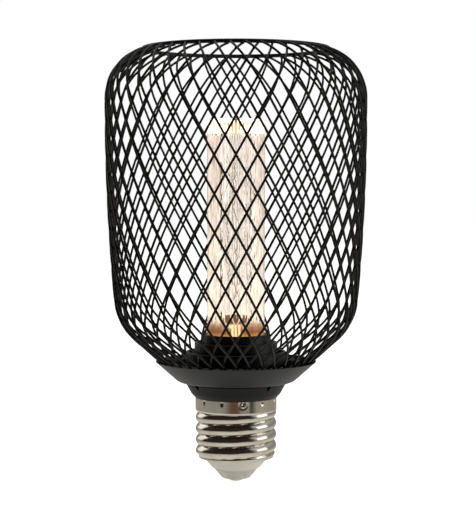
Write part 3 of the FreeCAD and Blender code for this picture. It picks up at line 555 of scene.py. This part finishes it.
# Amber streaks of painted glow, of uneven height and width, round the foot, up to a little under the skin
foot_streaks, streak_foot, streak_out = 40, guide_seat + 0.3, skin_r - 0.5
for k in range(foot_streaks):
    streak_top = 50.4 + 2.2 * rough.random()
    streak_in = 4.9 + 1.2 * rough.random()
    add_fin(etching, [(streak_in, streak_foot), (streak_out, streak_foot), (streak_out, streak_top),
                      (streak_in, streak_top - 0.6)], 2 * math.pi * (k + 0.5) / foot_streaks, 0.1)
# Fins of painted glow between the flared mouth and the skin, where the mouth turns the chips' light out
mouth_fins, fin_in, fin_out = 40, bore_r + 0.9, skin_r - 0.4
fin_foot, fin_top = mouth_foot + 0.2, column_top - 0.6
for k in range(mouth_fins):
    add_fin(etching, [(fin_in, fin_foot), (fin_out, fin_foot), (fin_out, fin_top), (fin_out - 0.5, fin_top)],
            2 * math.pi * (k + 0.5) / mouth_fins, 0.14)
bmesh.ops.recalc_face_normals(etching, faces=etching.faces[:])
finish_piece(etching, "etching_painted_glow", etched, "chip_amber")

# Dim scratches wander up round the bore and show as broken brown lines of faint painted glow in the middle of
# the column
paths = []
scratched_ways, scratch_r, scratch_step, scratch_end = 12, bore_r + 0.6, 1.8, 104.0
for k in range(scratched_ways):
    angle = 2 * math.pi * k / scratched_ways
    z = 57.0 + 5.0 * rough.random()
    while z < scratch_end:
        path = []
        for point in range(rough.randint(3, 7)):
            angle += rough.uniform(-0.3, 0.3)
            path.append(at_angle(scratch_r, z, angle))
            z += scratch_step
        paths.append(path)
        z += rough.uniform(0.5, 3.0)
scratches = bmesh.new()
add_lines(scratches, paths, 0.085, 0)
bmesh.ops.recalc_face_normals(scratches, faces=scratches.faces[:])
finish_piece(scratches, "column_scratches_painted_glow", phosphor, "chip_amber")

# The core is a short plug of silicone over the middle of the board, lit through
core_foot, core_r = guide_seat + 0.2, bore_r - 0.45
core = turned([(0, core_foot), (core_r, core_foot, 0.2), (core_r, light_end, 0.2), (1.7, 54.0, 0.3),
               (0, 54.4)], steps=48)
finish_piece(core, "lit_core", phosphor, "chip_amber")
# Above the light a brown collar with a faint painted glow stands round the core's top, just outside the bore
collar_in, collar_out, collar_z, collar_end = bore_r + 0.2, bore_r + 0.4, light_end + 0.4, 54.2
core_collar = turned([(collar_in, collar_z), (collar_out, collar_z), (collar_out, collar_end),
                      (collar_in, collar_end)], steps=48)
finish_piece(core_collar, "core_collar_painted_glow", phosphor, "chip_amber")
# Under the mouth the cut face itself glows peach between the fins, a painted glow
mouth = turned([(3.0, 112.1), (3.1, 112.0), (6.9, 115.2), (6.8, 115.3)], steps=64)
finish_piece(mouth, "mouth_face_painted_glow", phosphor, "chip_amber")

# Wire cage
# Two layers of forty steel wires that lean opposite ways, spot-welded where they cross and to a ring
# at each end. Satin black powder coat over all of it.

# Black polyester powder on wire: a thin bright line along each wire and black beside it
satin_black = start_material("satin_black_powder_coat")
place = add_node(satin_black, "ShaderNodeTexCoord").outputs["Object"]
# Orange peel of about 0.4 mm, drawn as coarse as a wire can show it
peel = add_node(satin_black, "ShaderNodeTexNoise", {"Vector": place, "Scale": 2500.0, "Detail": 2.0})
relief = add_node(satin_black, "ShaderNodeBump",
                  {"Height": peel.outputs["Fac"], "Strength": 0.25, "Distance": 0.00004})
patches = add_node(satin_black, "ShaderNodeTexNoise", {"Vector": place, "Scale": 150.0, "Detail": 3.0})
tone = add_node(satin_black, "ShaderNodeValToRGB", {"Fac": patches.outputs["Fac"]},
                stops=[(0.3, linear("0a0a0b")), (0.75, linear("111112"))])
dullness = add_node(satin_black, "ShaderNodeMapRange",
                    {"Value": patches.outputs["Fac"], "To Min": 0.3, "To Max": 0.42})
powder = add_node(satin_black, "ShaderNodeBsdfPrincipled",
                  {"Base Color": tone.outputs["Color"], "Roughness": dullness.outputs["Result"],
                   "IOR": 1.5, "Specular IOR Level": 0.22, "Normal": relief.outputs["Normal"]})
add_node(satin_black, "ShaderNodeOutputMaterial", {"Surface": powder.outputs["BSDF"]})

wires_a_way, rows, points_a_row = 40, 20, 4
row = cage_length / rows
wire_r = 0.38
# Each layer's middle lies this far off the cage's surface, and at a weld it is pressed further in
layer_lift, weld_press, weld_reach = {1: 0.27, -1: -0.46}, 0.04, 1.3
for name, node, hand in (("outer_wires", "cage_outer_wires", 1), ("inner_wires", "cage_inner_wires", -1)):
    paths = []
    for wire in range(wires_a_way):
        path = []
        for i in range(rows * points_a_row + 1):
            along = i / points_a_row
            pressed = weld_press * math.exp(-((along - round(along)) * row / weld_reach) ** 2)
            r, z, _ = down_cage(along * row, layer_lift[hand] - hand * pressed)
            path.append(at_angle(r, z, math.pi * (2 * wire + 1 + hand * along) / wires_a_way))
        paths.append(path)
    layer = bmesh.new()
    add_lines(layer, paths, wire_r, 3)
    finish_piece(layer, name, satin_black, "wire_black", node, sharp=60)

# Each weld leaves a small flattened nugget that fills the crossing's corners
nugget = bmesh.new()
bmesh.ops.create_uvsphere(nugget, u_segments=8, v_segments=5, radius=1.0)
nugget_mesh = bpy.data.meshes.new("nugget")
nugget.to_mesh(nugget_mesh)
nugget.free()
nuggets = bmesh.new()
nugget_width, nugget_length, nugget_thickness, nugget_lift = 0.4, 0.75, 0.42, -0.09
for level in range(1, rows):
    r, z, tilt = down_cage(level * row, nugget_lift)
    for wire in range(wires_a_way):
        turn = math.pi * (2 * wire + 1 + level) / wires_a_way
        outwards = Vector((math.cos(tilt) * math.cos(turn), math.cos(tilt) * math.sin(turn), math.sin(tilt)))
        across = Vector((-math.sin(turn), math.cos(turn), 0))
        axes = Matrix((across * nugget_width * MM, across.cross(outwards) * nugget_length * MM,
                       outwards * nugget_thickness * MM)).transposed()
        weld = nugget_mesh.copy()
        weld.transform(Matrix.Translation(at_angle(r, z, turn)) @ axes.to_4x4())
        nuggets.from_mesh(weld)
        bpy.data.meshes.remove(weld)
bmesh.ops.recalc_face_normals(nuggets, faces=nuggets.faces[:])
finish_piece(nuggets, "weld_nuggets", satin_black, "wire_black", sharp=80)

# The top ring lies on the wires' ends, and the base ring inside their feet
for name, node, along, lift, ring_r in (("top_ring", "cage_top_ring", 0.8, 0.3, 0.65),
                                        ("base_ring", "cage_base_ring", cage_length - 0.5, -1.53, 0.8)):
    r, z, _ = down_cage(along, lift)
    ring = bmesh.new()
    section = Matrix.Translation((r * MM, 0, z * MM)) @ Matrix.Rotation(math.pi / 2, 4, "X")
    bmesh.ops.create_circle(ring, segments=14, radius=ring_r * MM, matrix=section)
    bmesh.ops.spin(ring, geom=ring.verts[:] + ring.edges[:], cent=(0, 0, 0), axis=(0, 0, 1),
                   angle=2 * math.pi, steps=160, use_merge=True)
    bmesh.ops.recalc_face_normals(ring, faces=ring.faces[:])
    finish_piece(ring, name, satin_black, "wire_black", node, sharp=60)

# Floor, light and camera
# A plain white floor in a white studio with softboxes overhead and at the sides, and a dim room behind the
# camera, which is what the nickel cap mirrors.

# Matt emulsion on a sweep: even white without a shine, with faint roller mottle a few centimetres across
sweep_paint = start_material("matt_white_sweep")
place = add_node(sweep_paint, "ShaderNodeTexCoord").outputs["Object"]
mottle = add_node(sweep_paint, "ShaderNodeTexNoise", {"Vector": place, "Scale": 30.0, "Detail": 2.0})
tone = add_node(sweep_paint, "ShaderNodeValToRGB", {"Fac": mottle.outputs["Fac"]},
                stops=[(0.3, linear("f4f4f4")), (0.7, linear("f7f7f7"))])
paint = add_node(sweep_paint, "ShaderNodeBsdfPrincipled",
                 {"Base Color": tone.outputs["Color"], "Roughness": 0.9, "Specular IOR Level": 0.1,
                  "Emission Color": linear("ffffff"), "Emission Strength": 0.8})
add_node(sweep_paint, "ShaderNodeOutputMaterial", {"Surface": paint.outputs["BSDF"]})
floor_mesh = bmesh.new()
bmesh.ops.create_grid(floor_mesh, x_segments=1, y_segments=1, size=3.0)
mesh = bpy.data.meshes.new("floor")
floor_mesh.to_mesh(mesh)
floor_mesh.free()
mesh.materials.append(sweep_paint)
floor = bpy.data.objects.new("floor", mesh)
bpy.context.scene.collection.objects.link(floor)
floor.visible_glossy = False
floor.visible_diffuse = False

studio = bpy.data.worlds.new("studio")
studio.use_nodes = True
studio.node_tree.nodes.clear()
direction = add_node(studio, "ShaderNodeTexCoord").outputs["Generated"]
parts = add_node(studio, "ShaderNodeSeparateXYZ", {"Vector": direction})
ahead = add_node(studio, "ShaderNodeMath", {0: parts.outputs["Y"], 1: -1.0}, operation="MULTIPLY")
azimuth = add_node(studio, "ShaderNodeMath",
                   {0: parts.outputs["X"], 1: ahead.outputs[0]}, operation="ARCTAN2")
# The ground and the ceiling are pale, and the walls between them are dim
walls = add_node(studio, "ShaderNodeMapRange",
                 {"Value": parts.outputs["Z"], "From Min": -1.0, "From Max": 1.0})
surround = add_node(studio, "ShaderNodeValToRGB", {"Fac": walls.outputs["Result"]},
                    stops=[(0.0, [0.85, 0.83, 0.78, 1]), (1.0, [0.7, 0.7, 0.7, 1]),
                           (0.3, [0.7, 0.68, 0.62, 1]), (0.44, [0.36, 0.35, 0.31, 1]),
                           (0.6, [0.3, 0.29, 0.26, 1]), (0.85, [0.6, 0.6, 0.6, 1])])
# A dark room fills the camera's side above its table, from far left to half way to the right. An azimuth is
# in radians round from straight behind the camera
left_edge = add_node(studio, "ShaderNodeMapRange",
                     {"Value": azimuth.outputs[0], "From Min": -2.2, "From Max": -1.85})
right_edge = add_node(studio, "ShaderNodeMapRange",
                      {"Value": azimuth.outputs[0], "From Min": 1.0, "From Max": 0.8})
room_dark = [0.03, 0.022, 0.018, 1]
low_edge = add_node(studio, "ShaderNodeMapRange",
                    {"Value": parts.outputs["Z"], "From Min": -0.14, "From Max": -0.06})
across = add_node(studio, "ShaderNodeMath",
                  {0: left_edge.outputs["Result"], 1: right_edge.outputs["Result"]}, operation="MULTIPLY")
darkness = add_node(studio, "ShaderNodeMath",
                    {0: across.outputs[0], 1: low_edge.outputs["Result"]}, operation="MULTIPLY")
room = add_node(studio, "ShaderNodeMix",
                {"Factor": darkness.outputs[0], FIRST_COLOUR: surround.outputs["Color"],
                 SECOND_COLOUR: room_dark},
                data_type="RGBA")
# A brown table edge shows as a stripe in the middle of the collar, and a dark cabinet right of it
furniture_reach = 1.2
table_brown, cabinet_dark = [0.15, 0.085, 0.055], [0.035, 0.035, 0.025]


def round_room(azimuth):
    """Where an azimuth comes on the furniture's ramp."""
    return (azimuth + furniture_reach) / (2 * furniture_reach)


sideways = add_node(studio, "ShaderNodeMapRange",
                    {"Value": azimuth.outputs[0], "From Min": -furniture_reach, "From Max": furniture_reach})
furniture = add_node(studio, "ShaderNodeValToRGB", {"Fac": sideways.outputs["Result"]},
                     stops=[(round_room(-0.55), table_brown + [0]), (round_room(1.056), cabinet_dark + [0]),
                            (round_room(-0.25), table_brown + [1]), (round_room(0.1), table_brown + [1]),
                            (round_room(0.3), table_brown + [0]), (round_room(0.648), cabinet_dark + [0]),
                            (round_room(0.72), cabinet_dark + [0.9]),
                            (round_room(0.816), cabinet_dark + [0.9])])
# Both stand in a band a little under the horizon
over = add_node(studio, "ShaderNodeMapRange",
                {"Value": parts.outputs["Z"], "From Min": -0.36, "From Max": -0.28})
below = add_node(studio, "ShaderNodeMapRange",
                 {"Value": parts.outputs["Z"], "From Min": 0.06, "From Max": -0.02})
band = add_node(studio, "ShaderNodeMath",
                {0: over.outputs["Result"], 1: below.outputs["Result"]}, operation="MULTIPLY")
stands = add_node(studio, "ShaderNodeMath",
                  {0: furniture.outputs["Alpha"], 1: band.outputs[0]}, operation="MULTIPLY")
furnished = add_node(studio, "ShaderNodeMix",
                     {"Factor": stands.outputs[0], FIRST_COLOUR: room.outputs[MIXED],
                      SECOND_COLOUR: furniture.outputs["Color"]},
                     data_type="RGBA")
# What is seen straight, or through the acrylic, is the white backdrop
rays = add_node(studio, "ShaderNodeLightPath")
straight = add_node(studio, "ShaderNodeMath",
                    {0: rays.outputs["Is Camera Ray"], 1: rays.outputs["Is Transmission Ray"]},
                    operation="MAXIMUM")
seen = add_node(studio, "ShaderNodeMix",
                {"Factor": straight.outputs[0], FIRST_COLOUR: furnished.outputs[MIXED],
                 SECOND_COLOUR: [1.0, 1.0, 1.0, 1.0]},
                data_type="RGBA")
backdrop = add_node(studio, "ShaderNodeBackground", {"Color": seen.outputs[MIXED], "Strength": 1.0})
add_node(studio, "ShaderNodeOutputWorld", {"Surface": backdrop.outputs["Background"]})
bpy.context.scene.world = studio
bpy.context.scene.view_settings.view_transform = "Standard"

# Each softbox with its place, its width in metres and its power in watts
lamps = [("right_softbox", (0.75, -0.12, 0.22), 0.5, 1.3), ("left_softbox", (-0.6, 0.5, 0.3), 0.5, 0.7),
         ("overhead_softbox", (0.0, 0.1, 0.9), 0.8, 1.6)]
bulb_middle = Vector((0, 0, 0.07))
for name, spot, size, power in lamps:
    lamp = bpy.data.lights.new(name, "AREA")
    lamp.shape = "SQUARE"
    lamp.size = size
    lamp.energy = power
    lamp_object = bpy.data.objects.new(name, lamp)
    lamp_object.location = spot
    lamp_object.rotation_euler = (bulb_middle - Vector(spot)).to_track_quat("-Z", "Y").to_euler()
    lamp_object.visible_camera = False
    bpy.context.scene.collection.objects.link(lamp_object)

# The camera looks a little down on the cage's middle, from as far as the rims' ellipses allow
eye, aim = Vector((0, -0.500, 0.0971)), Vector((0, 0, 0.07288))
lens = bpy.data.cameras.new("camera")
lens.sensor_fit = "VERTICAL"
lens.sensor_height = 24.0
lens.lens = 72.66
lens.shift_x = 0.004
lens.clip_start = 0.01
camera = bpy.data.objects.new("camera", lens)
camera.location = eye
camera.rotation_euler = (aim - eye).to_track_quat("-Z", "Y").to_euler()
bpy.context.scene.collection.objects.link(camera)
bpy.context.scene.camera = camera
